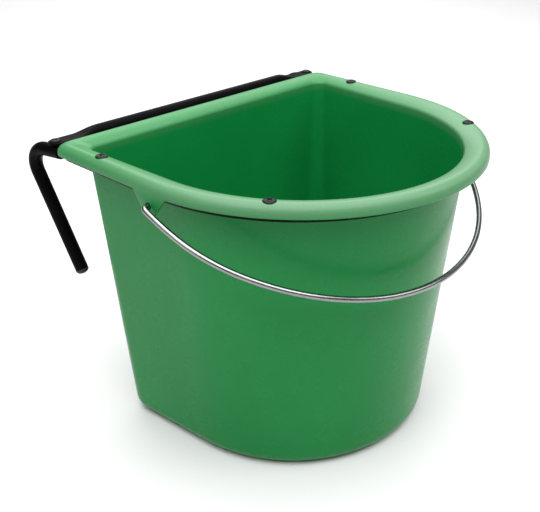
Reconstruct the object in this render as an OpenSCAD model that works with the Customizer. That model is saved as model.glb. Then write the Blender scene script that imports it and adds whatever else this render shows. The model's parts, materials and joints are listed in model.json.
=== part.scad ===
// Hook-on feed bucket: flat-backed moulded bucket, tube frame with two rear hooks, wire bail.
// +Z is up, the flat back faces +Y, the round front faces -Y, X runs across the width.
// The origin is at the bottom centre of the whole object's box.

/* [Bucket] */
// outside width of the rim across the two straight sides
rim_w = 324; // [270:1:400]
// length of the rim's straight sides, from the back edge to the start of the round front
side_len = 123.5; // [100:0.5:160]
// height of the rim's top above the floor
bucket_h = 260; // [215:1:320]
// width of the base where its round front begins
base_w = 246.6; // [200:1:250]
// width of the base across its rear corners
base_back_w = 257.8; // [200:1:262]
// how far the base's front stands in front of the line where the round front begins
base_reach = 120; // [95:1:130]
// how far the base's back wall stands in from the rim's back edge
base_back_in = 33; // [20:1:45]
// thickness of the side walls
wall_t = 2.8; // [2:0.1:4]
// thickness of the floor
floor_t = 3.2; // [2.5:0.1:5]
// outside radius where the walls turn into the floor
base_edge_r = 13; // [6:0.5:18]
// upright corner radius at the top of the rear walls
top_corner_r = 12; // [8:0.5:16]
// upright corner radius at the foot of the rear walls
base_corner_r = 20.5; // [12:0.5:28]

/* [Rim] */
// height of the turned-down lip
lip_h = 10.5; // [8:0.5:14]
// thickness of the lip and of the flat of the rim
lip_t = 2.5; // [2:0.1:3]
// plan radius of the rim's two rear corners
rim_corner_r = 8; // [5:0.5:14]
// distance from the lip's outer face to the rim's highest line
crown_w = 6.8; // [6:0.1:9]
// how far the rim dips from its highest line to the edge of the mouth
rim_dip = 4; // [2:0.1:6]
// radius of the edge where the rim turns down into the mouth
mouth_r = 4; // [2.5:0.1:6]
// space between the frame tube and the lip
channel_gap = 1; // [0.6:0.1:2]

/* [Bail ears] */
// width of an ear where it leaves the lip
ear_w = 36.6; // [28:0.2:44]
// width of an ear at its lower end
ear_tip_w = 9.4; // [8:0.2:14]
// how far an ear reaches below the lip
ear_drop = 17.5; // [15:0.5:24]
// height of the pivot hole above the ear's lower end
ear_hole_up = 8.2; // [6:0.1:9]

/* [Frame tube] */
// outside diameter of the frame, hook and back bar tubes
tube_d = 12; // [10:0.5:14]
// wall thickness of the tubes
tube_wall = 1.3; // [1:0.1:2]
// how far behind the rim a hook's top corner lies
hook_reach = 46.4; // [36:0.2:56]
// how far the hook's end lies below its top corner
hook_drop = 113.5; // [90:0.5:135]
// how far the hook's end leans back towards the bucket
hook_lean = 37.2; // [20:0.5:42]
// how far the hook's top corner stands outside the frame tube
hook_splay = 6.7; // [0:0.1:9]
// how far the hook's end leans in towards the middle of the bucket
hook_lean_in = 18.5; // [0:0.5:24]
// bend radius of the hook's top corner, on the tube's centre line
hook_bend_r = 19; // [14:0.5:24]
// how far the front of the frame tube stands in from the sides' distance to the lip
front_tuck = 2.4; // [0:0.1:4]
// length of a hook's stem inside the frame tube
spigot_len = 24; // [16:1:40]

/* [Back bar] */
// length of the round part of the back bar
bar_round_len = 226; // [170:2:290]
// length over which the round bar is pressed flat
bar_press_len = 20; // [14:1:26]
// thickness of the bar's flat ends
bar_flat_t = 2.6; // [2.2:0.1:4]
// width of the bar's flat ends
bar_flat_w = 14; // [11:0.5:18]
// distance from the rim's back edge to the bar's centre line
bar_back = 7.6; // [7.2:0.1:12]

/* [Bail] */
// diameter of the bail wire
wire_d = 5; // [4:0.2:6]
// angle of the bail below level as it hangs in front of the bucket
bail_angle = 23.3; // [15:0.1:26]
// how much further than half the rim's width the bail reaches from its pivots
bail_over = 6.4; // [5:0.1:12]
// radius of the bail's arms, as a share of half the rim width
arm_share = 1.42; // [1.3:0.01:1.6]
// radius of the bail's shoulders, as a share of half the rim width
shoulder_share = 0.83; // [0.7:0.01:0.9]
// radius of the bail's front, as a share of half the rim width
front_share = 1.065; // [1.02:0.005:1.15]
// bend radius where each arm turns in to its pivot
end_bend_r = 3.6; // [3.2:0.1:5]
// radial clearance of the wire in the ear's hole
pivot_gap = 0.06; // [0.03:0.01:0.1]

/* [Screws] */
// distance of the rear rim screws in front of the rim's back edge
rear_screw_in = 55.4; // [40:0.5:80]
// angle of the front rim screws around the round front, from the side towards the middle
front_screw_angle = 36; // [25:1:50]
// diameter of a rim screw's head
screw_head_d = 10.2; // [9:0.2:13]
// height of a rim screw's head
screw_head_h = 2; // [1.6:0.1:3]
// diameter of a screw's shank
screw_d = 4.2; // [3.5:0.1:5]

/* [Hidden] */

$fn = 96;
eps = 0.01;
half_w = rim_w / 2;
tube_r = tube_d / 2;
bore_r = tube_r - tube_wall;
wire_r = wire_d / 2;

// distance in from the lip's outer face to the tube's centre line and to the wall
tube_in = lip_t + channel_gap + tube_r;
wall_in = tube_in + tube_r + 1.5;
lip_z = bucket_h - lip_h;
flange_z = bucket_h - lip_t;
tube_z = flange_z - tube_r - 1.9;

// hook centre line, measured from the rim's back edge; the full tube begins behind the rim
tube_end_y = -10;
hook_start_y = -9;
hook_open_y = 0.8;
hook_top = [half_w - tube_in + hook_splay, hook_reach, tube_z - 3.1];
hook_start = [half_w - tube_in, hook_start_y, tube_z];
hook_end = [hook_top[0] - hook_lean_in, hook_reach - hook_lean, hook_top[2] - hook_drop];

function unit(v) = v / norm(v);
function mix(a, b, k) = a + (b - a) * k;

hook_in = unit(hook_top - hook_start);
hook_out = unit(hook_end - hook_top);
hook_turn = acos(hook_in * hook_out);
hook_cut = hook_bend_r * tan(hook_turn / 2);
hook_normal = unit(cross(hook_in, hook_out));
hook_bend_start = hook_top - hook_in * hook_cut;
hook_bend_end = hook_top + hook_out * hook_cut;
hook_bend_mid = hook_bend_start + cross(hook_normal, hook_in) * hook_bend_r;

// rearmost point of the hooks, and the shift that puts the whole object's middle at y = 0
hook_back = hook_bend_mid[1] + hook_bend_r * sqrt(1 - hook_normal[1] * hook_normal[1]) + tube_r;
front_y = -side_len - half_w;
y_shift = -(front_y + hook_back) / 2;
arc_y = -side_len;

// bail pivot
pivot_z = lip_z - ear_drop + ear_hole_up;
arm_x = half_w + 2.4 + wire_r;
bail_reach = half_w + bail_over;
arm_r = half_w * arm_share;
shoulder_r = half_w * shoulder_share;
front_r = half_w * front_share;

// plan shapes: half width at the rear corners, half width and reach of the round front,
// position of the back, corner radius
function rim_plan(in) = [half_w - in, half_w - in, half_w - in, -in,
    mix(rim_corner_r, top_corner_r, min(1, in / wall_in))];
base_plan = [base_back_w / 2, base_w / 2, base_reach, -base_back_in, base_corner_r];
top_plan = [half_w - wall_in + 0.5, half_w - wall_in - 3, half_w - wall_in - 0.5, -wall_in,
    top_corner_r];
function wall_plan(z) = mix(base_plan, top_plan, z / flange_z);

// rim section: an upright foot, a quarter of an ellipse up to the highest line,
// a shallow arch that dips inwards, then a tighter roll down into the mouth
crown_h = 8;
dip_run = wall_in + wall_t - 0.7 - crown_w;
arch_r = (dip_run * dip_run + rim_dip * rim_dip) / (2 * rim_dip);
arch_a = asin(dip_run / arch_r);
mouth_run = dip_run + mouth_r * (1 - sin(arch_a));
mouth_z = bucket_h - rim_dip - mouth_r * cos(arch_a);
under_r = arch_r - lip_t;
under_a = asin((wall_in + 0.7 - crown_w) / under_r);
under_z = bucket_h - arch_r + under_r * cos(under_a);
function shrink(plan, k) = [plan[0] - k, plan[1] - k, plan[2] - k, plan[3] - k,
    max(plan[4] - k * 0.6, 3)];

// angles round the front; the first and last ones land on the corners of the ears
ear_edge_a = asin(ear_w / 2 / half_w);
ear_tip_a = asin(ear_tip_w / 2 / half_w);
front_angles = concat([0, ear_tip_a, ear_edge_a], [for (i = [0:40]) 10 + i * 4],
    [180 - ear_edge_a, 180 - ear_tip_a, 180]);
side_ys = [arc_y + ear_w / 2, arc_y + ear_tip_w / 2];

// angle at which a straight side touches the round front, so that the two run on smoothly
function touch_a(plan) = let (a = plan[0] / plan[1], b = (arc_y - plan[3] + plan[4]) / plan[2])
    atan2(b, a) + acos(min(1, 1 / norm([a, b])));
function side_x(plan, y) = let (t = touch_a(plan), start = plan[3] - plan[4])
    mix(plan[0], plan[1] * cos(t), (start - y) / (start - arc_y + plan[2] * sin(t)));
function front_turn(plan, a) = let (t = touch_a(plan)) t + a * (180 - 2 * t) / 180;

// one closed ring of plan points, from the left rear corner round the front to the right one
function ring_xy(plan) = concat(
    [for (i = [0:6]) [-plan[0] + plan[4] + plan[4] * cos(90 + i * 15),
        plan[3] - plan[4] + plan[4] * sin(90 + i * 15)]],
    [for (y = side_ys) [-side_x(plan, y), y]],
    [for (f = front_angles) let (a = front_turn(plan, f))
        [-plan[1] * cos(a), arc_y - plan[2] * sin(a)]],
    [for (i = [1:-1:0]) [side_x(plan, side_ys[i]), side_ys[i]]],
    [for (i = [0:6]) [plan[0] - plan[4] + plan[4] * cos(i * 15),
        plan[3] - plan[4] + plan[4] * sin(i * 15)]]);
function ring(plan, z) = [for (p = ring_xy(plan)) [p[0], p[1] + y_shift, z]];

// height of the lip's lower edge at each point of a ring: it drops to form the two ears
function ear_share(y) = max(0, min(1,
    (ear_w / 2 - abs(y - arc_y)) / (ear_w / 2 - ear_tip_w / 2)));
lip_edge = [for (p = ring_xy(rim_plan(0))) lip_z - ear_drop * ear_share(p[1])];
function lip_ring(in) = let (pts = ring_xy(rim_plan(in)))
    [for (i = [0:len(pts) - 1]) [pts[i][0], pts[i][1] + y_shift, lip_edge[i]]];

function crown_ring(t, a) = ring(rim_plan(crown_w - (crown_w - t) * cos(a)),
    bucket_h - crown_h + (crown_h - t) * sin(a));
function under_ring(a) = ring(mix(rim_plan(crown_w), wall_plan(under_z), sin(a) / sin(under_a)),
    bucket_h - arch_r + under_r * cos(a));
mouth_plan = shrink(wall_plan(mouth_z), wall_t);
function arch_ring(a) = ring(mix(rim_plan(crown_w), mouth_plan, arch_r * sin(a) / mouth_run),
    bucket_h - arch_r * (1 - cos(a)));
function roll_ring(a) = ring(mix(rim_plan(crown_w), mouth_plan,
    (dip_run + mouth_r * (sin(a) - sin(arch_a))) / mouth_run),
    bucket_h - rim_dip - mouth_r * (cos(arch_a) - cos(a)));

inner_edge_r = base_edge_r - wall_t;
function outer_foot(a) = ring(shrink(wall_plan(base_edge_r * (1 - cos(a))),
    base_edge_r * (1 - sin(a))), base_edge_r * (1 - cos(a)));
function inner_foot(a) = ring(shrink(wall_plan(floor_t + inner_edge_r * (1 - cos(a))),
    wall_t + inner_edge_r * (1 - sin(a))), floor_t + inner_edge_r * (1 - cos(a)));

bucket_rings = concat(
    [for (i = [0:5]) outer_foot(i * 18)],
    [for (k = [0.35, 0.7, 1]) ring(wall_plan(mix(base_edge_r, under_z, k)),
        mix(base_edge_r, under_z, k))],
    [for (k = [0.7, 0.35]) under_ring(under_a * k)],
    [for (i = [6:-1:0]) crown_ring(lip_t, i * 15)],
    [lip_ring(lip_t), lip_ring(0)],
    [for (i = [0:6]) crown_ring(0, i * 15)],
    [for (k = [0.35, 0.7, 1]) arch_ring(arch_a * k)],
    [for (k = [0.25, 0.5, 0.75, 1]) roll_ring(mix(arch_a, 90, k))],
    [for (k = [0.7, 0.35]) ring(shrink(wall_plan(mix(base_edge_r, mouth_z, k)), wall_t),
        mix(base_edge_r, mouth_z, k))],
    [for (i = [5:-1:0]) inner_foot(i * 18)]);

// closed skin over a stack of rings, each with the same number of points
module ring_stack(rings) {
    n = len(rings[0]);
    m = len(rings);
    points = [for (r = rings) for (p = r) p];
    sides = [for (j = [0:m - 2]) for (i = [0:n - 1])
        let (a = j * n + i, b = j * n + (i + 1) % n, c = (j + 1) * n + (i + 1) % n, d = (j + 1) * n + i)
        each [[a, d, c], [a, c, b]]];
    caps = [[for (i = [0:n - 1]) i], [for (i = [n - 1:-1:0]) (m - 1) * n + i]];
    polyhedron(points = points, faces = concat(sides, caps), convexity = 10);
}

// puts a shape drawn in its own x and z directions at a point
module place(at, x_dir, z_dir) {
    y_dir = cross(z_dir, x_dir);
    multmatrix([[x_dir[0], y_dir[0], z_dir[0], at[0]],
                [x_dir[1], y_dir[1], z_dir[1], at[1]],
                [x_dir[2], y_dir[2], z_dir[2], at[2]],
                [0, 0, 0, 1]]) children();
}

// straight rod from one point to another
module rod(from, to, r) {
    d = unit(to - from);
    side = unit(cross(d, abs(d[2]) < 0.9 ? [0, 0, 1] : [1, 0, 0]));
    place(from, side, d) cylinder(r = r, h = norm(to - from));
}

// bent length of rod: bend_r from the centre, starting along x, turning towards y;
// it stops a hair short at both ends, where seams join it to its neighbours
module bend(bend_r, r, a) {
    short = 0.2 * 180 / PI / bend_r;
    rotate([0, 0, short])
        rotate_extrude(angle = a - 2 * short) translate([bend_r, 0]) circle(r = r);
}

// thin band that joins two lengths of rod end to end
module seam(at, dir, r) {
    place(at, unit(cross(dir, abs(dir[2]) < 0.9 ? [0, 0, 1] : [1, 0, 0])), dir)
        cylinder(r = r + 0.02, h = 1.2, center = true);
}

// shallow round head, flat below
module dome(r, h) {
    ball_r = (r * r + h * h) / (2 * h);
    intersection() {
        translate([0, 0, h - ball_r]) sphere(r = ball_r);
        cylinder(r = r + 1, h = h + 1);
    }
}

// the rim screws stand a little outside the frame tube's centre line at the front
screw_in = 9;
function rim_screw_at(side, front) = front
    ? [side * (half_w - screw_in) * cos(front_screw_angle),
       arc_y - (half_w - screw_in) * sin(front_screw_angle) + y_shift]
    : [side * (half_w - screw_in), -rear_screw_in + y_shift];
seat_z = bucket_h - 0.6;

// height of the hook tube's top under the bar's front edge, which the bar's flat ends clear
hook_top_z = hook_start[2] + hook_in[2] * (bar_back - bar_flat_w / 2 - hook_start_y) + tube_r;
bar_z = hook_top_z + bar_flat_t / 2 + 0.1;
bar_screw_y = bar_back;
bar_screw_x = half_w - tube_in
    + hook_splay * (bar_screw_y - hook_start_y) / (hook_reach - hook_start_y);

module bucket() {
    color([0.16, 0.50, 0.27])
    difference() {
        ring_stack(bucket_rings);
        // flat seats for the screws, sunk into the top of the rim
        for (s = [-1, 1])
            for (f = [false, true])
                translate([rim_screw_at(s, f)[0], rim_screw_at(s, f)[1], seat_z])
                    cylinder(r = screw_head_d / 2 + 0.3, h = 5);
        // pivot holes in the ears
        for (s = [-1, 1])
            translate([s * (half_w - lip_t - 2), arc_y + y_shift, pivot_z])
                rotate([0, s * 90, 0])
                    cylinder(r = wire_r + pivot_gap, h = lip_t + 4);
        // screw holes through the top of the rim
        for (s = [-1, 1])
            for (f = [false, true])
                translate([rim_screw_at(s, f)[0], rim_screw_at(s, f)[1], flange_z - 2])
                    cylinder(r = screw_d / 2 + 0.15, h = lip_t + 4);
        // notches where the hook stems leave under the rear corners of the rim
        for (s = [-1, 1])
            translate([s * (half_w - tube_in + hook_splay * 0.15), y_shift + 2, tube_z - 0.4])
                rotate([90, 0, 0])
                    cylinder(r = bore_r + 0.8, h = rim_corner_r + 6);
    }
}

tube_arc_y = arc_y + front_tuck;

module frame_tube() {
    color([0.03, 0.03, 0.035])
    translate([0, y_shift, tube_z])
    difference() {
        union() {
            translate([0, tube_arc_y, 0])
                rotate([0, 0, 180])
                    rotate_extrude(angle = 180)
                        translate([half_w - tube_in, 0]) circle(r = tube_r);
            for (s = [-1, 1])
                translate([s * (half_w - tube_in), tube_end_y, 0])
                    rotate([90, 0, 0])
                        cylinder(r = tube_r, h = tube_end_y - tube_arc_y);
        }
        translate([0, tube_arc_y, 0])
            rotate([0, 0, 180])
                rotate_extrude(angle = 180)
                    translate([half_w - tube_in, 0]) circle(r = bore_r);
        for (s = [-1, 1])
            translate([s * (half_w - tube_in), tube_end_y + 1, 0])
                rotate([90, 0, 0])
                    cylinder(r = bore_r, h = tube_end_y + 1 - tube_arc_y);
        for (s = [-1, 1])
            for (f = [false, true])
                translate([rim_screw_at(s, f)[0], rim_screw_at(s, f)[1] - y_shift, 0])
                    cylinder(r = screw_d / 2 + 0.05, h = tube_r + 2);
    }
}

module hook_run(r, from, past) {
    rod(hook_start + hook_in * from, hook_bend_start - hook_in * 0.2, r);
    seam(hook_bend_start, hook_in, r);
    place(hook_bend_mid, unit(hook_bend_start - hook_bend_mid), hook_normal)
        bend(hook_bend_r, r, hook_turn);
    seam(hook_bend_end, hook_out, r);
    rod(hook_bend_end + hook_out * 0.2, hook_end + hook_out * past, r);
}

// tube with a thinner stem at its front end, which runs under the rim into the frame tube
module hook() {
    stem_r = bore_r - 0.05;
    translate([0, y_shift, 0]) {
        difference() {
            hook_run(tube_r, 8, 0);
            hook_run(bore_r, 26, 3);
            translate([hook_start[0] - 20, hook_open_y - 40, hook_start[2] - 20])
                cube([40, 40, 40]);
            translate([bar_screw_x, bar_screw_y, hook_start[2]])
                cylinder(r = screw_d / 2 + 0.05, h = tube_r + 5);
        }
        rod(hook_start + hook_in * 0.2, hook_start + hook_in * 14, stem_r);
        seam(hook_start, unit(hook_in + [0, 1, 0]), stem_r + 0.4);
        translate([hook_start[0], hook_start_y - 0.2, hook_start[2]])
            rotate([90, 0, 0])
                cylinder(r = stem_r, h = spigot_len);
    }
}

module right_hook() {
    color([0.03, 0.03, 0.035]) hook();
}

module left_hook() {
    color([0.03, 0.03, 0.035]) mirror([1, 0, 0]) hook();
}

// stem in the tube's bore, collar the width of the tube, shallow domed end
module hook_plug() {
    place(hook_end + [0, y_shift, 0], unit(cross(hook_out, [1, 0, 0])), hook_out) {
        translate([0, 0, -12]) cylinder(r = bore_r - 0.05, h = 12.5);
        translate([0, 0, 0.05]) cylinder(r = tube_r, h = 1.6);
        translate([0, 0, 1.6]) dome(tube_r - 0.3, 3.4);
    }
}

module right_hook_plug() {
    color([0.05, 0.05, 0.05]) hook_plug();
}

module left_hook_plug() {
    color([0.05, 0.05, 0.05]) mirror([1, 0, 0]) hook_plug();
}

module back_bar() {
    round_half = bar_round_len / 2;
    flat_start = round_half + bar_press_len;
    flat_end = bar_screw_x + 6;
    color([0.03, 0.03, 0.035])
    translate([0, bar_back + y_shift, bar_z])
    difference() {
        union() {
            translate([-round_half, 0, 0]) rotate([0, 90, 0])
                cylinder(r = tube_r, h = bar_round_len);
            for (s = [-1, 1]) {
                hull() {
                    translate([s * (round_half - 0.5) - 0.5, 0, 0]) rotate([0, 90, 0])
                        cylinder(r = tube_r, h = 1, $fn = 32);
                    translate([s * flat_start - 0.5, -bar_flat_w / 2, -bar_flat_t / 2])
                        cube([1, bar_flat_w, bar_flat_t]);
                }
                translate([0, 0, -bar_flat_t / 2])
                    linear_extrude(bar_flat_t) {
                        translate([s * (flat_start + flat_end - bar_flat_w / 2) / 2, 0])
                            square([flat_end - bar_flat_w / 2 - flat_start, bar_flat_w], center = true);
                        translate([s * (flat_end - bar_flat_w / 2), 0]) circle(d = bar_flat_w);
                    }
            }
        }
        translate([-round_half + 1, 0, 0]) rotate([0, 90, 0])
            cylinder(r = bore_r, h = bar_round_len - 2);
        for (s = [-1, 1])
            translate([s * bar_screw_x, 0, -bar_flat_t])
                cylinder(r = screw_d / 2 + 0.15, h = bar_flat_t * 2);
    }
}

// cross recess in the top of a screw head
module cross_recess(size, depth) {
    for (a = [0, 90])
        rotate([0, 0, a])
            translate([-size / 2, -0.6, -depth]) cube([size, 1.2, depth + 5]);
}

module screw(head_r, head_h, length) {
    difference() {
        union() {
            dome(head_r, head_h);
            translate([0, 0, -length]) cylinder(r = screw_d / 2, h = length + 0.3);
        }
        translate([0, 0, head_h]) cross_recess(head_r * 1.05, 1.5);
    }
}

module rim_screw(side, front) {
    color([0.04, 0.04, 0.045])
    translate([rim_screw_at(side, front)[0], rim_screw_at(side, front)[1], seat_z + 0.05])
        screw(screw_head_d / 2, screw_head_h, lip_t + 7);
}

module rear_left_screw() {
    rim_screw(-1, false);
}

module rear_right_screw() {
    rim_screw(1, false);
}

module front_left_screw() {
    rim_screw(-1, true);
}

module front_right_screw() {
    rim_screw(1, true);
}

module bar_screw(side) {
    color([0.04, 0.04, 0.045])
    translate([side * bar_screw_x, bar_screw_y + y_shift, bar_z + bar_flat_t / 2 + 0.05])
        screw(4.4, 1.8, bar_flat_t + 4);
}

module left_bar_screw() {
    bar_screw(-1);
}

module right_bar_screw() {
    bar_screw(1);
}

// centres and angles of the three arcs that make up half of the bail
arm_c = [arm_x - arm_r, end_bend_r];
front_c = [0, bail_reach - front_r];
arc_gap = norm(front_c - arm_c);
arc_dir = (front_c - arm_c) / arc_gap;
arm_leg = arm_r - shoulder_r;
front_leg = front_r - shoulder_r;
arc_along = (arm_leg * arm_leg - front_leg * front_leg + arc_gap * arc_gap) / (2 * arc_gap);
arc_off = sqrt(arm_leg * arm_leg - arc_along * arc_along);
shoulder_c = arm_c + arc_dir * arc_along + [arc_dir[1], -arc_dir[0]] * arc_off
    * (arc_dir[1] * 1 - arc_dir[0] * 1 > 0 ? 1 : -1);
arm_a = atan2(shoulder_c[1] - arm_c[1], shoulder_c[0] - arm_c[0]);
front_a = atan2(shoulder_c[1] - front_c[1], shoulder_c[0] - front_c[0]);

function on_arc(c, bend_r, a) = [c[0] + bend_r * cos(a), c[1] + bend_r * sin(a), 0];

module bail_arc(c, bend_r, from, to) {
    translate([c[0], c[1], 0]) rotate([0, 0, from]) bend(bend_r, wire_r, to - from);
}

module bail_side() {
    pin_from = half_w - lip_t - 8;
    end_c = [arm_x - end_bend_r, end_bend_r];
    translate([pin_from, 0, 0]) rotate([0, 90, 0])
        cylinder(r = wire_r, h = end_c[0] - 0.2 - pin_from);
    seam([end_c[0], 0, 0], [1, 0, 0], wire_r);
    bail_arc(end_c, end_bend_r, -90, 0);
    seam([arm_x, end_bend_r, 0], [0, 1, 0], wire_r);
    bail_arc(arm_c, arm_r, 0, arm_a);
    seam(on_arc(arm_c, arm_r, arm_a), [-sin(arm_a), cos(arm_a), 0], wire_r);
    bail_arc(shoulder_c, shoulder_r, arm_a, front_a);
    seam(on_arc(front_c, front_r, front_a), [-sin(front_a), cos(front_a), 0], wire_r);
}

module bail() {
    down = [0, -cos(bail_angle), -sin(bail_angle)];
    color([0.75, 0.76, 0.78])
    place([0, arc_y + y_shift, pivot_z], [1, 0, 0], cross([1, 0, 0], down)) {
        bail_arc(front_c, front_r, front_a, 180 - front_a);
        bail_side();
        mirror([1, 0, 0]) bail_side();
    }
}

bucket();
frame_tube();
left_hook();
right_hook();
back_bar();
bail();
left_hook_plug();
right_hook_plug();
rear_left_screw();
rear_right_screw();
front_left_screw();
front_right_screw();
left_bar_screw();
right_bar_screw();
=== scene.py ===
"""Hook-over feed bucket: visual model, materials, studio and camera.

Most sizes come from the frame's boxes. The main ones that don't are named, in millimetres times MM,
and small offsets and material settings stand where they are used.
"""
import json
import math

import bmesh
import bpy
from mathutils import Matrix, Vector, noise

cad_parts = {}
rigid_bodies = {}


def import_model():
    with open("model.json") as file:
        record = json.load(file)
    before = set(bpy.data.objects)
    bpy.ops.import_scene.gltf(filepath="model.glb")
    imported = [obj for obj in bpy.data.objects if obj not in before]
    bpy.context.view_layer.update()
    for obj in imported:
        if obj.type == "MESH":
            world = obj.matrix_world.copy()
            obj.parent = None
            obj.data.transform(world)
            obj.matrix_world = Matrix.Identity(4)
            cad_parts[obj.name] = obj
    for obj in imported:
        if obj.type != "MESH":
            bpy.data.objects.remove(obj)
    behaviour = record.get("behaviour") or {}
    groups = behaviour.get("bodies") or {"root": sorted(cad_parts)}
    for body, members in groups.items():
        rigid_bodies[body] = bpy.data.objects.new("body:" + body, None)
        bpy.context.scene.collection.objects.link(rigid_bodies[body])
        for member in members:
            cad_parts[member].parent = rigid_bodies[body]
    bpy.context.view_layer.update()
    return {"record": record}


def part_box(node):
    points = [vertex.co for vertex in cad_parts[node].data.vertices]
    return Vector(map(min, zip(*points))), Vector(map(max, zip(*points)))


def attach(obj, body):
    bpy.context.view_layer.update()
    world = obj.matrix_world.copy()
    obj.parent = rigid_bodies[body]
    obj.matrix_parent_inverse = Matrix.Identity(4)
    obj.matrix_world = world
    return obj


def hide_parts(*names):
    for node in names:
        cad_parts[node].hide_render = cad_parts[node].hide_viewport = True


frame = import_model()

BODY = "bucket_body"
BAIL_BODY = "bail_body"
MM = 0.001
SHARP_EDGE = math.radians(38)

# ---------------------------------------------------------------- sizes, from the frame
bucket_lo, bucket_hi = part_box("bucket")
tube_lo, tube_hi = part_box("frame_tube")
bar_lo, bar_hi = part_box("back_bar")
bail_lo, bail_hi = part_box("bail")
joint = frame["record"]["behaviour"]["joints"][0]
pivot = Vector(joint["pos_m"])

HALF_W = bucket_hi[0]
TOP = bucket_hi[2]
BACK_Y = bucket_hi[1]
ARC_Y = bucket_lo[1] + HALF_W
TUBE_R = (tube_hi[2] - tube_lo[2]) / 2
TUBE_Z = (tube_hi[2] + tube_lo[2]) / 2
TUBE_X = tube_hi[0] - TUBE_R
LIP_T = 2.5 * MM
LIP_H = 10.5 * MM
LIP_Z = TOP - LIP_H
TUBE_TO_WALL = 1.5 * MM
WALL_IN = HALF_W - TUBE_X + TUBE_R + TUBE_TO_WALL
TUBE_ARC_Y = tube_lo[1] + TUBE_R + TUBE_X
WALL_T = 2.8 * MM
FLOOR_T = 3.2 * MM
FLANGE_Z = TOP - LIP_T


# ---------------------------------------------------------------- mesh helpers
def new_object(name, bm, body, replaces=()):
    """A mesh object from a bmesh, riding on a body and standing for CAD nodes."""
    bmesh.ops.recalc_face_normals(bm, faces=bm.faces)
    for edge in bm.edges:
        if len(edge.link_faces) == 2:
            edge.smooth = edge.calc_face_angle() < SHARP_EDGE
    for face in bm.faces:
        face.smooth = True
    mesh = bpy.data.meshes.new(name)
    bm.to_mesh(mesh)
    bm.free()
    obj = bpy.data.objects.new(name, mesh)
    bpy.context.scene.collection.objects.link(obj)
    if body:
        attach(obj, body)
        if replaces:
            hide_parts(*replaces)
    return obj


def skin(bm, rings, closed=True, caps=True):
    """Quads between rings of points, each ring with the same count."""
    rows = [[bm.verts.new(p) for p in ring] for ring in rings]
    count = len(rows[0])
    last = count if closed else count - 1
    for lower, upper in zip(rows, rows[1:]):
        for i in range(last):
            j = (i + 1) % count
            bm.faces.new((lower[i], lower[j], upper[j], upper[i]))
    if caps:
        bm.faces.new(rows[0])
        bm.faces.new(list(reversed(rows[-1])))
    return rows


def lathe(bm, profile, origin, axis, steps=48):
    """Turns (radius, height) points round an axis; the ends close on the axis."""
    axis = Vector(axis).normalized()
    side = axis.orthogonal().normalized()
    up = axis.cross(side)
    rings = []
    for radius, height in profile:
        radius = max(radius, 1e-5)
        rings.append([
            Vector(origin) + axis * height
            + (side * math.cos(a) + up * math.sin(a)) * radius
            for a in (2 * math.pi * i / steps for i in range(steps))
        ])
    skin(bm, rings)


def sweep(bm, path, section, steps=28):
    """A tube along a path; section(i, a) gives the offset in the path's own frame."""
    tangents = []
    for i, p in enumerate(path):
        before = path[max(i - 1, 0)]
        after = path[min(i + 1, len(path) - 1)]
        tangents.append((after - before).normalized())
    side = tangents[0].orthogonal().normalized()
    if abs(tangents[0].z) < 0.9:
        side = tangents[0].cross(Vector((0, 0, 1))).normalized()
    rings = []
    for i, (p, t) in enumerate(zip(path, tangents)):
        side = (side - t * side.dot(t)).normalized()
        up = t.cross(side)
        ring = []
        for k in range(steps):
            x, y = section(i, 2 * math.pi * k / steps)
            ring.append(p + side * x + up * y)
        rings.append(ring)
    skin(bm, rings)


def rounded_ends(path, radius, edge):
    """Path and radii of a rod whose two ends have a rounded edge."""
    start = (path[0] - path[1]).normalized()
    end = (path[-1] - path[-2]).normalized()
    steps = (0, 30, 60, 90)
    head = [path[0] - start * edge * (1 - math.sin(math.radians(a))) for a in steps]
    tail = [path[-1] - end * edge * (1 - math.sin(math.radians(a))) for a in steps]
    radii = [radius - edge * (1 - math.cos(math.radians(a))) for a in steps]
    points = list(reversed(head)) + path[1:-1] + tail
    sizes = list(reversed(radii)) + [radius] * (len(path) - 2) + radii
    return points, sizes


def rod(bm, path, radius, edge=0.5 * MM, steps=28):
    points, sizes = rounded_ends(path, radius, edge)
    sweep(bm, points, lambda i, a: (sizes[i] * math.cos(a), sizes[i] * math.sin(a)), steps)


def arc(centre, start, normal, angle, count):
    """Points from start round a centre, about a normal, by an angle in radians."""
    return [
        centre + Matrix.Rotation(angle * i / count, 3, normal) @ (start - centre)
        for i in range(count + 1)
    ]


def line(a, b, count):
    return [a.lerp(b, i / count) for i in range(count + 1)]


def joined(*runs):
    """One path from several, with each shared end point kept once."""
    path = list(runs[0])
    for run in runs[1:]:
        path += run[1:] if (run[0] - path[-1]).length < 1e-6 else run
    return path


def cut(obj, cutters):
    """Takes the cutters out of a piece and drops them."""
    for cutter in cutters:
        mod = obj.modifiers.new("cut", "BOOLEAN")
        mod.operation = "DIFFERENCE"
        mod.solver = "EXACT"
        mod.object = cutter
    bpy.context.view_layer.update()
    graph = bpy.context.evaluated_depsgraph_get()
    mesh = bpy.data.meshes.new_from_object(obj.evaluated_get(graph))
    obj.modifiers.clear()
    obj.data = mesh
    for cutter in cutters:
        bpy.data.objects.remove(cutter)
    for poly in mesh.polygons:
        poly.use_smooth = True
    bm = bmesh.new()
    bm.from_mesh(mesh)
    bmesh.ops.remove_doubles(bm, verts=bm.verts, dist=1e-6)
    for edge in bm.edges:
        if len(edge.link_faces) == 2:
            edge.smooth = edge.calc_face_angle() < SHARP_EDGE
    bm.to_mesh(mesh)
    bm.free()


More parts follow.
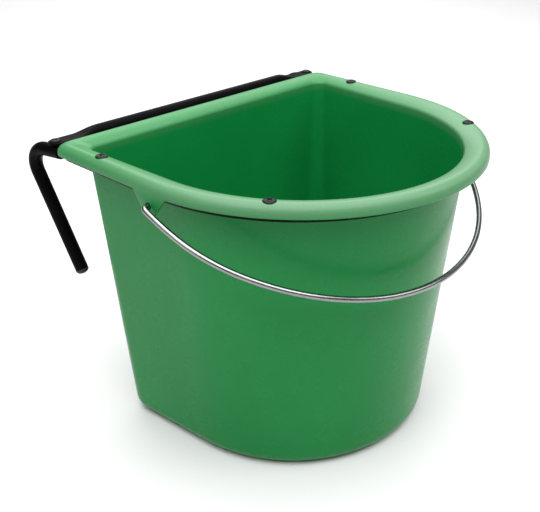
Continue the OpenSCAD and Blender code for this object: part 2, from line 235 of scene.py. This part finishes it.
# ---------------------------------------------------------------- bucket
class Plan:
    """A D-shaped outline: half widths at the back and front, reach, back line, corner radius."""

    def __init__(self, rear, front, reach, back, corner):
        self.values = (rear, front, reach, back, corner)

    def mix(self, other, k):
        return Plan(*(a + (b - a) * k for a, b in zip(self.values, other.values)))

    def shrink(self, k):
        rear, front, reach, back, corner = self.values
        return Plan(rear - k, front - k, reach - k, back - k, max(corner - k * 0.6, 3 * MM))


RIM_SCREWS = ("rear_left", "rear_right", "front_left", "front_right")
EAR_HALF = 18.3 * MM
EAR_TIP = 4.7 * MM
EAR_DROP = 17.5 * MM


def rim_plan(inset):
    corner = 8 * MM + 4 * MM * min(1, inset / WALL_IN)
    return Plan(HALF_W - inset, HALF_W - inset, HALF_W - inset, -inset, corner)


base_plan = Plan(128.9 * MM, 123.3 * MM, 120 * MM, -33 * MM, 20.5 * MM)
top_plan = Plan(HALF_W - WALL_IN + 0.5 * MM, HALF_W - WALL_IN - 3 * MM,
                HALF_W - WALL_IN - 0.5 * MM, -WALL_IN, 12 * MM)


def wall_plan(z):
    return base_plan.mix(top_plan, z / FLANGE_Z)


def ring_xy(plan):
    """Outline points from the left rear corner round the front and along the back."""
    rear, front, reach, back, corner = plan.values
    arc_y = ARC_Y - BACK_Y
    start_y = back - corner
    a, b = rear / front, (arc_y - start_y) / reach
    touch = math.atan2(b, a) + math.acos(min(1, 1 / math.hypot(a, b)))
    touch_x, touch_y = front * math.cos(touch), arc_y - reach * math.sin(touch)
    right = []
    for i in range(17):
        t = math.radians(90 - i * 90 / 16)
        right.append((rear - corner + corner * math.cos(t), back - corner + corner * math.sin(t)))
    stops = [start_y + (arc_y + EAR_HALF - start_y) * i / 12 for i in range(1, 13)]
    stops += [arc_y + EAR_HALF + (EAR_TIP - EAR_HALF) * i / 5 for i in range(1, 6)]
    stops += [arc_y + EAR_TIP * (1 - i / 3) for i in range(1, 4)]
    for y in stops:
        k = (start_y - y) / (start_y - touch_y)
        right.append((rear + (touch_x - rear) * k, y))
    tip, ear = math.asin(EAR_TIP / HALF_W), math.asin(EAR_HALF / HALF_W)
    turns = [tip * i / 3 for i in (1, 2, 3)] + [tip + (ear - tip) * i / 5 for i in range(1, 6)]
    turns += [ear + (math.pi / 2 - ear) * i / 48 for i in range(1, 49)]
    for t in turns:
        u = touch + t * (math.pi / 2 - touch) / (math.pi / 2)
        right.append((front * math.cos(u), arc_y - reach * math.sin(u)))
    left = [(-x, y) for x, y in right[:-1]]
    half = rear - corner
    across = [(half * (1 - 2 * i / 40), back) for i in range(1, 40)]
    return right + left[::-1] + [(-x, y) for x, y in across]


def edge_drop(y):
    """How far below the lip the edge runs: the ears hang under the rim's widest line."""
    share = (EAR_HALF - abs(y - (ARC_Y - BACK_Y))) / (EAR_HALF - EAR_TIP)
    return EAR_DROP * max(0, min(1, share))


RIM_XY = ring_xy(rim_plan(0))


def ring(plan, z, wave=0.0):
    out = []
    for x, y in ring_xy(plan):
        p = Vector((x, y + BACK_Y, z))
        if wave:
            d = Vector((x, y - ARC_Y + BACK_Y, 0)).normalized()
            p += d * wave * noise.noise(Vector((p.x * 9 + 3, p.y * 9, p.z * 7)))
        out.append(p)
    return out


def lip_ring(inset, above):
    """Ring along the lip's lower edge, which drops to form the ears."""
    points = ring_xy(rim_plan(inset))
    return [Vector((x, y + BACK_Y, LIP_Z - edge_drop(RIM_XY[i][1]) + above))
            for i, (x, y) in enumerate(points)]


def bucket_rings():
    crown_in, crown_h, dip, mouth_r = 6.8 * MM, 8 * MM, 4 * MM, 4 * MM
    dip_run = WALL_IN + WALL_T - 0.7 * MM - crown_in
    arch_r = (dip_run * dip_run + dip * dip) / (2 * dip)
    arch_a = math.asin(dip_run / arch_r)
    mouth_run = dip_run + mouth_r * (1 - math.sin(arch_a))
    mouth_z = TOP - dip - mouth_r * math.cos(arch_a)
    mouth_plan = wall_plan(mouth_z).shrink(WALL_T)
    under_r = arch_r - LIP_T
    under_a = math.asin((WALL_IN + 0.7 * MM - crown_in) / under_r)
    under_z = TOP - arch_r + under_r * math.cos(under_a)
    base_r, lip_r = 13 * MM, 0.9 * MM
    inner_r = base_r - WALL_T
    wave = 0.22 * MM
    rings = []
    for i in range(13):
        a = math.radians(i * 7.5)
        z = base_r * (1 - math.cos(a))
        rings.append(ring(wall_plan(z).shrink(base_r * (1 - math.sin(a))), z, wave * i / 12))
    for i in range(1, 31):
        z = base_r + (under_z - base_r) * i / 30
        rings.append(ring(wall_plan(z), z, wave * (1 - i / 30)))
    for i in range(5, 0, -1):
        a = under_a * i / 6
        plan = rim_plan(crown_in).mix(wall_plan(under_z), math.sin(a) / math.sin(under_a))
        rings.append(ring(plan, TOP - arch_r + under_r * math.cos(a)))
    for a in range(90, -1, -10):
        c, s = math.cos(math.radians(a)), math.sin(math.radians(a))
        rings.append(ring(rim_plan(crown_in - (crown_in - LIP_T) * c),
                          TOP - crown_h + (crown_h - LIP_T) * s))
    for a in (0, 30, 60, 90):
        c, s = math.cos(math.radians(a)), math.sin(math.radians(a))
        rings.append(lip_ring(LIP_T - lip_r * (1 - c), lip_r * (1 - s)))
    for a in (90, 60, 30, 0):
        c, s = math.cos(math.radians(a)), math.sin(math.radians(a))
        rings.append(lip_ring(lip_r * (1 - c), lip_r * (1 - s)))
    for a in range(0, 91, 6):
        c, s = math.cos(math.radians(a)), math.sin(math.radians(a))
        rings.append(ring(rim_plan(crown_in * (1 - c)), TOP - crown_h * (1 - s)))
    for i in range(1, 13):
        a = arch_a * i / 12
        plan = rim_plan(crown_in).mix(mouth_plan, arch_r * math.sin(a) / mouth_run)
        rings.append(ring(plan, TOP - arch_r * (1 - math.cos(a))))
    for i in range(1, 13):
        a = arch_a + (math.pi / 2 - arch_a) * i / 12
        along = dip_run + mouth_r * (math.sin(a) - math.sin(arch_a))
        plan = rim_plan(crown_in).mix(mouth_plan, along / mouth_run)
        rings.append(ring(plan, TOP - dip - mouth_r * (math.cos(arch_a) - math.cos(a))))
    for i in range(29, 0, -1):
        z = base_r + (mouth_z - base_r) * i / 30
        rings.append(ring(wall_plan(z).shrink(WALL_T), z, wave * (1 - i / 30)))
    for i in range(12, -1, -1):
        a = math.radians(i * 7.5)
        z = FLOOR_T + inner_r * (1 - math.cos(a))
        inset = WALL_T + inner_r * (1 - math.sin(a))
        rings.append(ring(wall_plan(z).shrink(inset), z, wave * i / 12))
    floor_in = WALL_T + inner_r + 3 * MM
    rings.append(ring(wall_plan(FLOOR_T).shrink(floor_in), FLOOR_T))
    rings.insert(0, ring(wall_plan(0).shrink(base_r + 3 * MM), 0.0))
    return rings


def cutter(bm):
    return new_object("cutter", bm, None)


def build_bucket():
    bm = bmesh.new()
    skin(bm, bucket_rings())
    shell = new_object("bucket_shell", bm, BODY, ["bucket"])
    tools = []
    for side in (-1, 1):
        bm = bmesh.new()
        start = Vector((side * (HALF_W - 8 * MM), pivot.y, pivot.z))
        rim = 2.56 * MM
        lathe(bm, [(0, 0), (rim, 0), (rim, 7.4 * MM), (rim + 0.7 * MM, 8.1 * MM),
                   (rim + 0.7 * MM, 12 * MM), (0, 12 * MM)], start, (side, 0, 0))
        tools.append(cutter(bm))
        bm = bmesh.new()
        notch = 5.5 * MM
        lathe(bm, [(0, 0), (notch, 0), (notch, 14 * MM), (0, 14 * MM)],
              (side * (TUBE_X + 1.0 * MM), BACK_Y - 12 * MM, TUBE_Z - 0.4 * MM), (0, 1, 0))
        tools.append(cutter(bm))
    # flat seats for the four rim screws, sunk into the rim
    for name in RIM_SCREWS:
        lo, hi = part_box(name + "_screw")
        centre = ((lo[0] + hi[0]) / 2, (lo[1] + hi[1]) / 2, TOP - 0.6 * MM)
        r = (hi[0] - lo[0]) / 2 + 0.3 * MM
        bm = bmesh.new()
        lathe(bm, [(0, 0), (r, 0), (r, 5 * MM), (0, 5 * MM)], centre, (0, 0, 1))
        tools.append(cutter(bm))
    cut(shell, tools)
    return shell


# ---------------------------------------------------------------- frame, hooks, bar
def build_frame():
    start_y = tube_hi[1]
    right = line(Vector((TUBE_X, start_y, TUBE_Z)), Vector((TUBE_X, TUBE_ARC_Y, TUBE_Z)), 24)
    front = arc(Vector((0, TUBE_ARC_Y, TUBE_Z)), Vector((TUBE_X, TUBE_ARC_Y, TUBE_Z)),
                Vector((0, 0, 1)), -math.pi, 120)
    left = line(Vector((-TUBE_X, TUBE_ARC_Y, TUBE_Z)), Vector((-TUBE_X, start_y, TUBE_Z)), 24)
    bm = bmesh.new()
    rod(bm, joined(right, front, left), TUBE_R)
    new_object("frame_hoop", bm, BODY, ["frame_tube"])


# the stem starts in the frame tube, the full tube opens just behind the rim
HOOK_BEND_R = 19 * MM
STEM_R = 4.65 * MM
HOOK_BASE = Vector((TUBE_X, tube_hi[1] + 1 * MM, TUBE_Z))
HOOK_CORNER = Vector((TUBE_X + 6.7 * MM, BACK_Y + 46.4 * MM, TUBE_Z - 3.1 * MM))
HOOK_LEG = Vector((-18.5, -37.2, -113.5)) * MM
HOOK_IN = (HOOK_CORNER - HOOK_BASE).normalized()
HOOK_OPEN = (BACK_Y + 0.9 * MM - HOOK_BASE.y) / HOOK_IN.y


def hook_path():
    """Centre line of the right hook, from behind the rim round the bend to its end."""
    end = HOOK_CORNER + HOOK_LEG
    after = (end - HOOK_CORNER).normalized()
    turn = HOOK_IN.angle(after)
    back_off = HOOK_BEND_R * math.tan(turn / 2)
    normal = HOOK_IN.cross(after).normalized()
    enter = HOOK_CORNER - HOOK_IN * back_off
    centre = enter + normal.cross(HOOK_IN) * HOOK_BEND_R
    bend = arc(centre, enter, normal, turn, 36)
    start = HOOK_BASE + HOOK_IN * HOOK_OPEN
    return joined(line(start, enter, 8), bend, line(bend[-1], end, 24))


def mirrored(path, side):
    return [Vector((p.x * side, p.y, p.z)) for p in path]


def build_hooks():
    for side, name in ((1, "right"), (-1, "left")):
        path = mirrored(hook_path(), side)
        bm = bmesh.new()
        rod(bm, path, TUBE_R, 0.7 * MM, 32)
        # thinner stem that runs under the rim into the frame tube
        stem = [HOOK_BASE - Vector((0, 8 * MM, 0)), HOOK_BASE, HOOK_BASE + HOOK_IN * 14 * MM]
        rod(bm, mirrored(stem, side), STEM_R, 0.2 * MM, 32)
        new_object(name + "_hook_tube", bm, BODY, [name + "_hook"])
        end, out = path[-1], (path[-1] - path[-2]).normalized()
        bm = bmesh.new()
        r = TUBE_R
        profile = [(0, -6 * MM), (r - 1.4 * MM, -6 * MM), (r - 1.4 * MM, 0.05 * MM),
                   (r - 0.25 * MM, 0.05 * MM), (r, 0.35 * MM), (r, 1.2 * MM)]
        profile += [(r * math.cos(math.radians(a)), 1.2 * MM + 3.7 * MM * math.sin(math.radians(a)))
                    for a in range(10, 90, 10)]
        lathe(bm, profile + [(0, 4.9 * MM)], end, out)
        new_object(name + "_plug", bm, BODY, [name + "_hook_plug"])


def build_bar():
    """Round tube whose ends are pressed flat and rounded in plan."""
    z, y = (bar_lo[2] + bar_hi[2]) / 2, (bar_lo[1] + bar_hi[1]) / 2
    radius, flat_half = (bar_hi[2] - bar_lo[2]) / 2, (bar_hi[1] - bar_lo[1]) / 2
    flat_t, tip = 1.3 * MM, bar_hi[0]
    round_end, flat_start = 111 * MM, 134 * MM
    xs = [-tip + flat_half * (1 - math.cos(math.radians(a))) for a in range(0, 91, 6)]
    xs += [-tip + flat_half + (tip - flat_half - flat_start) * i / 5 for i in range(1, 5)]
    xs += [-flat_start + (flat_start - round_end) * i / 20 for i in range(21)]
    xs += [-round_end + round_end * i / 20 for i in range(1, 20)]
    xs += [0.0] + [-x for x in reversed(xs)]
    rings = []
    for x in xs:
        k = min(1, max(0, (abs(x) - round_end) / (flat_start - round_end)))
        k = k * k * (3 - 2 * k)
        half_t = radius + (flat_t - radius) * k
        half_w = radius + (flat_half - radius) * k
        power = 2 + 3 * k
        to_tip = (abs(x) - (tip - flat_half)) / flat_half
        if to_tip > 0:
            half_w *= math.sqrt(max(1 - to_tip * to_tip, 1e-4))
            if to_tip > 0.97:
                half_t -= 0.35 * MM
        ring_points = []
        for i in range(40):
            a = 2 * math.pi * i / 40
            c, s = math.cos(a), math.sin(a)
            ring_points.append(Vector((
                x,
                y + half_w * math.copysign(abs(c) ** (2 / power), c),
                z + half_t * math.copysign(abs(s) ** (2 / power), s),
            )))
        rings.append(ring_points)
    bm = bmesh.new()
    skin(bm, rings)
    new_object("bar_tube", bm, BODY, ["back_bar"])


# ---------------------------------------------------------------- bail
def build_bail():
    wire_r = 2.5 * MM
    arm_x = bail_hi[0] - wire_r
    front = Vector((0, bail_lo[1] + wire_r, bail_lo[2] + wire_r)) - Vector((0, pivot.y, pivot.z))
    reach, ahead = front.length, front.normalized()
    end_r, arm_r = 3.6 * MM, HALF_W * 1.42
    shoulder_r, front_r = HALF_W * 0.83, HALF_W * 1.065
    arm_c = Vector((arm_x - arm_r, end_r))
    front_c = Vector((0, reach - front_r))
    gap = (front_c - arm_c).length
    along = ((arm_r - shoulder_r) ** 2 - (front_r - shoulder_r) ** 2 + gap * gap) / (2 * gap)
    off = math.sqrt((arm_r - shoulder_r) ** 2 - along * along)
    u = (front_c - arm_c) / gap
    side = Vector((u.y, -u.x))
    if side.x + side.y < 0:
        side = -side
    shoulder_c = arm_c + u * along + side * off
    arm_a = math.atan2(shoulder_c.y - arm_c.y, shoulder_c.x - arm_c.x)
    front_a = math.atan2(shoulder_c.y - front_c.y, shoulder_c.x - front_c.x)

    def turn(c, r, a0, a1, count):
        return [Vector((c.x + r * math.cos(a0 + (a1 - a0) * i / count),
                        c.y + r * math.sin(a0 + (a1 - a0) * i / count)))
                for i in range(count + 1)]

    end_c = Vector((arm_x - end_r, end_r))
    half = [Vector((HALF_W - 10.5 * MM, 0)), Vector((HALF_W - 5 * MM, 0))]
    half += turn(end_c, end_r, -math.pi / 2, 0, 12)
    half += turn(arm_c, arm_r, 0, arm_a, 22)[1:]
    half += turn(shoulder_c, shoulder_r, arm_a, front_a, 40)[1:]
    half += turn(front_c, front_r, front_a, math.pi / 2, 60)[1:]
    flat = half + [Vector((-p.x, p.y)) for p in reversed(half[:-1])]
    path = [Vector((p.x, pivot.y, pivot.z)) + ahead * p.y for p in flat]
    bm = bmesh.new()
    rod(bm, path, wire_r, 0.4 * MM, 24)
    new_object("bail_wire", bm, BAIL_BODY, ["bail"])


# ---------------------------------------------------------------- screws
def build_screw(node, head_r, head_h):
    lo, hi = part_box(node)
    x, y = (lo[0] + hi[0]) / 2, (lo[1] + hi[1]) / 2
    seat = hi[2] - head_h
    edge = 0.45 * MM
    profile = [(0, -2 * MM), (2 * MM, -2 * MM), (2 * MM, 0), (head_r - 0.25 * MM, 0),
               (head_r, 0.2 * MM), (head_r, edge)]
    for i in range(1, 12):
        a = math.pi / 2 * i / 12
        profile.append((head_r * math.cos(a) ** 0.9, edge + (head_h - edge) * math.sin(a)))
    bm = bmesh.new()
    lathe(bm, profile + [(0, head_h)], (x, y, seat), (0, 0, 1))
    piece = new_object(node + "_head", bm, BODY, [node])
    twist = noise.noise(Vector((x * 40, y * 40, 1.0))) * 2.5
    tools = []
    for turn in (0, math.pi / 2):
        bm = bmesh.new()
        top, low = head_h + 1 * MM, head_h - 1.5 * MM
        rings = []
        for z, half_l, half_w in ((low, head_r * 0.3, 0.4 * MM), (top, head_r * 0.68, 0.85 * MM)):
            c, s = math.cos(twist + turn), math.sin(twist + turn)
            rings.append([Vector((x + px * c - py * s, y + px * s + py * c, seat + z))
                          for px, py in ((half_l, half_w), (-half_l, half_w),
                                         (-half_l, -half_w), (half_l, -half_w))])
        skin(bm, rings)
        tools.append(cutter(bm))
    cut(piece, tools)


# ---------------------------------------------------------------- materials
class Nodes:
    """A material's node tree, with short calls for the nodes used here."""

    def __init__(self, name):
        self.mat = bpy.data.materials.new(name)
        self.mat.use_nodes = True
        self.tree = self.mat.node_tree
        self.shader = self.tree.nodes["Principled BSDF"]
        self.place = self.add("ShaderNodeTexCoord").outputs["Object"]

    def add(self, kind, **inputs):
        node = self.tree.nodes.new(kind)
        for key, value in inputs.items():
            self.put(node.inputs[key.replace("_", " ")], value)
        return node

    def put(self, socket, value):
        if isinstance(value, bpy.types.NodeSocket):
            self.tree.links.new(value, socket)
        else:
            socket.default_value = value

    def stretched(self, scale):
        node = self.add("ShaderNodeMapping", Vector=self.place, Scale=scale)
        return node.outputs["Vector"]

    def noise(self, scale, detail=3.0, rough=0.5, at=None, distort=0.0):
        node = self.add("ShaderNodeTexNoise", Vector=at or self.place, Scale=scale,
                        Detail=detail, Roughness=rough, Distortion=distort)
        return node.outputs["Fac"]

    def span(self, value, from_lo, from_hi, to_lo, to_hi):
        node = self.add("ShaderNodeMapRange", Value=value)
        node.inputs["From Min"].default_value = from_lo
        node.inputs["From Max"].default_value = from_hi
        node.inputs["To Min"].default_value = to_lo
        node.inputs["To Max"].default_value = to_hi
        return node.outputs["Result"]

    def math(self, kind, a, b):
        node = self.tree.nodes.new("ShaderNodeMath")
        node.operation = kind
        self.put(node.inputs[0], a)
        self.put(node.inputs[1], b)
        return node.outputs[0]

    def blend(self, factor, a, b):
        node = self.tree.nodes.new("ShaderNodeMix")
        node.data_type = "RGBA"
        self.put(node.inputs["Factor"], factor)
        self.put(node.inputs[6], a)
        self.put(node.inputs[7], b)
        return node.outputs[2]

    def bump(self, height, strength, distance, under=None):
        node = self.add("ShaderNodeBump", Height=height, Strength=strength, Distance=distance)
        if under is not None:
            self.put(node.inputs["Normal"], under)
        return node.outputs["Normal"]

    def set(self, **inputs):
        for key, value in inputs.items():
            self.put(self.shader.inputs[key.replace("_", " ")], value)
        return self.mat


def plastic_material():
    n = Nodes("moulded_green_plastic")
    cloud = n.span(n.noise(7.0, 4.0), 0.35, 0.65, 0.0, 1.0)
    colour = n.blend(cloud, (0.0035, 0.178, 0.036, 1), (0.0055, 0.205, 0.044, 1))
    # pale scuffs: fine streaks, only in some patches
    streak = n.noise(1.0, 2.0, 0.6, at=n.stretched((60, 60, 900)), distort=0.6)
    patch = n.noise(11.0, 2.0)
    scuff = n.math("MULTIPLY", n.span(streak, 0.66, 0.74, 0.0, 1.0), n.span(patch, 0.56, 0.7, 0.0, 1.0))
    colour = n.blend(n.math("MULTIPLY", scuff, 0.12), colour, (0.12, 0.38, 0.18, 1))
    # rubbed high spots along rim and edges
    edge = n.add("ShaderNodeNewGeometry").outputs["Pointiness"]
    worn = n.math("MULTIPLY", n.span(edge, 0.53, 0.6, 0.0, 0.10), n.span(patch, 0.35, 0.6, 0.3, 1.0))
    colour = n.blend(worn, colour, (0.10, 0.36, 0.16, 1))
    # painted sheen: the rim is painted paler than the walls, most of all at the round front, standing
    # in for the reflection of the broad overhead light
    split = n.add("ShaderNodeSeparateXYZ", Vector=n.place).outputs
    painted_rim_sheen = n.span(split["Z"], 0.2465, 0.2575, 0.0, 1.0)
    painted_rim_sheen = n.math("MULTIPLY", painted_rim_sheen, n.span(split["Y"], -0.11, 0.11, 1.0, 0.42))
    painted_rim_sheen = n.math("MULTIPLY", painted_rim_sheen, n.span(n.noise(5.0, 2.0), 0.3, 0.7, 0.88, 1.0))
    # blend in the painted rim sheen colour
    colour = n.blend(painted_rim_sheen, colour, (0.122, 0.252, 0.14, 1))
    rough = n.span(n.noise(38.0, 5.0, 0.6), 0.3, 0.7, 0.24, 0.33)
    rough = n.math("ADD", rough, n.math("MULTIPLY", scuff, 0.18))
    grain = n.bump(n.noise(1500.0, 2.0), 0.10, 0.0002)
    grain = n.bump(n.noise(120.0, 2.0), 0.06, 0.0006, grain)
    grain = n.bump(scuff, 0.12, 0.0002, grain)
    return n.set(Base_Color=colour, Roughness=rough, Normal=grain, IOR=1.49,
                 Specular_IOR_Level=0.2)


def tube_material():
    n = Nodes("black_coated_tube")
    cloud = n.noise(30.0, 4.0)
    colour = n.blend(cloud, (0.001, 0.001, 0.001, 1), (0.0025, 0.0025, 0.0027, 1))
    dust = n.math("MULTIPLY", n.span(n.noise(160.0, 6.0, 0.7), 0.55, 0.75, 0.0, 1.0), 0.2)
    colour = n.blend(dust, colour, (0.006, 0.006, 0.006, 1))
    rough = n.span(n.noise(90.0, 5.0, 0.6), 0.3, 0.7, 0.30, 0.46)
    peel = n.bump(n.noise(900.0, 2.0), 0.22, 0.0003)
    peel = n.bump(n.noise(260.0, 2.0), 0.08, 0.0005, peel)
    return n.set(Base_Color=colour, Roughness=rough, Normal=peel, IOR=1.5,
                 Specular_IOR_Level=0.03)


def wire_material():
    n = Nodes("zinc_plated_wire")
    mottled = n.noise(220.0, 5.0, 0.6)
    colour = n.blend(mottled, (0.22, 0.23, 0.225, 1), (0.32, 0.33, 0.325, 1))
    rough = n.span(n.noise(140.0, 6.0, 0.65), 0.3, 0.7, 0.13, 0.27)
    lines = n.bump(n.noise(1.0, 2.0, 0.5, at=n.stretched((60, 2400, 2400))), 0.06, 0.0001)
    lines = n.bump(mottled, 0.05, 0.0002, lines)
    return n.set(Base_Color=colour, Metallic=1.0, Roughness=rough, Normal=lines)


def screw_material():
    n = Nodes("black_oxide_screw")
    colour = n.blend(n.noise(500.0, 4.0), (0.004, 0.004, 0.0045, 1), (0.012, 0.012, 0.013, 1))
    rough = n.span(n.noise(600.0, 4.0), 0.3, 0.7, 0.26, 0.42)
    tool = n.bump(n.noise(2200.0, 2.0), 0.15, 0.0001)
    return n.set(Base_Color=colour, Roughness=rough, Normal=tool, IOR=1.6,
                 Specular_IOR_Level=0.12)


def plug_material():
    n = Nodes("black_plug_plastic")
    colour = n.blend(n.noise(300.0, 3.0), (0.006, 0.006, 0.006, 1), (0.012, 0.012, 0.012, 1))
    rough = n.span(n.noise(400.0, 4.0), 0.3, 0.7, 0.45, 0.6)
    tool = n.bump(n.noise(1800.0, 2.0), 0.25, 0.0002)
    return n.set(Base_Color=colour, Roughness=rough, Normal=tool, IOR=1.49)


def floor_material():
    n = Nodes("studio_floor")
    colour = n.blend(n.noise(3.0, 2.0), (0.72, 0.72, 0.72, 1), (0.74, 0.74, 0.74, 1))
    return n.set(Base_Color=colour, Roughness=n.span(n.noise(9.0, 2.0), 0.3, 0.7, 0.75, 0.85))


def paint():
    by_slot = {
        "green_plastic": plastic_material(),
        "black_tube": tube_material(),
        "zinc_wire": wire_material(),
        "black_screw": screw_material(),
        "black_plug": plug_material(),
    }
    for piece, slot_name in PIECES:
        piece.data.materials.clear()
        piece.data.materials.append(by_slot[slot_name])


# ---------------------------------------------------------------- build
before = set(bpy.data.objects)
build_bucket()
build_frame()
build_hooks()
build_bar()
build_bail()
RIM_HEAD_R, RIM_HEAD_H = 5.1 * MM, 2.0 * MM
BAR_HEAD_R, BAR_HEAD_H = 4.4 * MM, 1.8 * MM
for spot in RIM_SCREWS:
    build_screw(spot + "_screw", RIM_HEAD_R, RIM_HEAD_H)
for screw_node in ("left_bar_screw", "right_bar_screw"):
    build_screw(screw_node, BAR_HEAD_R, BAR_HEAD_H)

SLOT_OF = {
    "bucket_shell": "green_plastic", "frame_hoop": "black_tube",
    "hook_tube": "black_tube", "bar_tube": "black_tube", "plug": "black_plug",
    "bail_wire": "zinc_wire", "head": "black_screw",
}
PIECES = []
for o in bpy.data.objects:
    if o not in before and o.type == "MESH":
        for ending, slot_name in SLOT_OF.items():
            if o.name.endswith(ending):
                PIECES.append((o, slot_name))
paint()

# ---------------------------------------------------------------- studio
floor_mesh = bpy.data.meshes.new("floor")
floor_mesh.from_pydata([(-6, -6, 0), (6, -6, 0), (6, 6, 0), (-6, 6, 0)], [], [(0, 1, 2, 3)])
floor = bpy.data.objects.new("floor", floor_mesh)
bpy.context.scene.collection.objects.link(floor)
floor.location.z = -0.0002
floor_mesh.materials.append(floor_material())

world = bpy.data.worlds.new("studio")
world.use_nodes = True
world.node_tree.nodes["Background"].inputs["Color"].default_value = (1, 1, 1, 1)
world.node_tree.nodes["Background"].inputs["Strength"].default_value = 0.27
bpy.context.scene.world = world


def softbox(name, at, target, width, height, power):
    data = bpy.data.lights.new(name, "AREA")
    data.shape = "RECTANGLE"
    data.size, data.size_y = width, height
    data.energy = power
    obj = bpy.data.objects.new(name, data)
    obj.location = at
    aim = (Vector(target) - Vector(at)).normalized()
    obj.rotation_euler = aim.to_track_quat("-Z", "Y").to_euler()
    bpy.context.scene.collection.objects.link(obj)


softbox("key", (0.9, -1.1, 1.2), (0, 0, 0.15), 0.7, 0.7, 5)
softbox("fill_left", (-1.6, 0.2, 0.7), (0, 0, 0.15), 0.8, 1.1, 1.5)
softbox("top", (-0.25, -0.25, 1.6), (-0.05, -0.05, 0.1), 2.2, 2.2, 60)
softbox("far_floor", (1.3, 1.5, 1.5), (1.2, 1.4, 0), 2.2, 2.2, 32)

# ---------------------------------------------------------------- camera
azimuth, elevation = math.radians(-45.36), math.radians(26.39)
back = Vector((math.sin(azimuth) * math.cos(elevation),
               -math.cos(azimuth) * math.cos(elevation), math.sin(elevation)))
right = Vector((math.cos(azimuth), math.sin(azimuth), 0))
up = back.cross(right)
eye = Vector((-0.5441, -0.6290 + BACK_Y, 0.5100))
camera_data = bpy.data.cameras.new("camera")
camera_data.sensor_width = 36
camera_data.lens = 911.4 / 540 * 36
camera = bpy.data.objects.new("camera", camera_data)
camera.matrix_world = Matrix((
    (right.x, up.x, back.x, eye.x),
    (right.y, up.y, back.y, eye.y),
    (right.z, up.z, back.z, eye.z),
    (0, 0, 0, 1),
))
bpy.context.scene.collection.objects.link(camera)
bpy.context.scene.camera = camera
bpy.context.scene.view_settings.view_transform = "Standard"
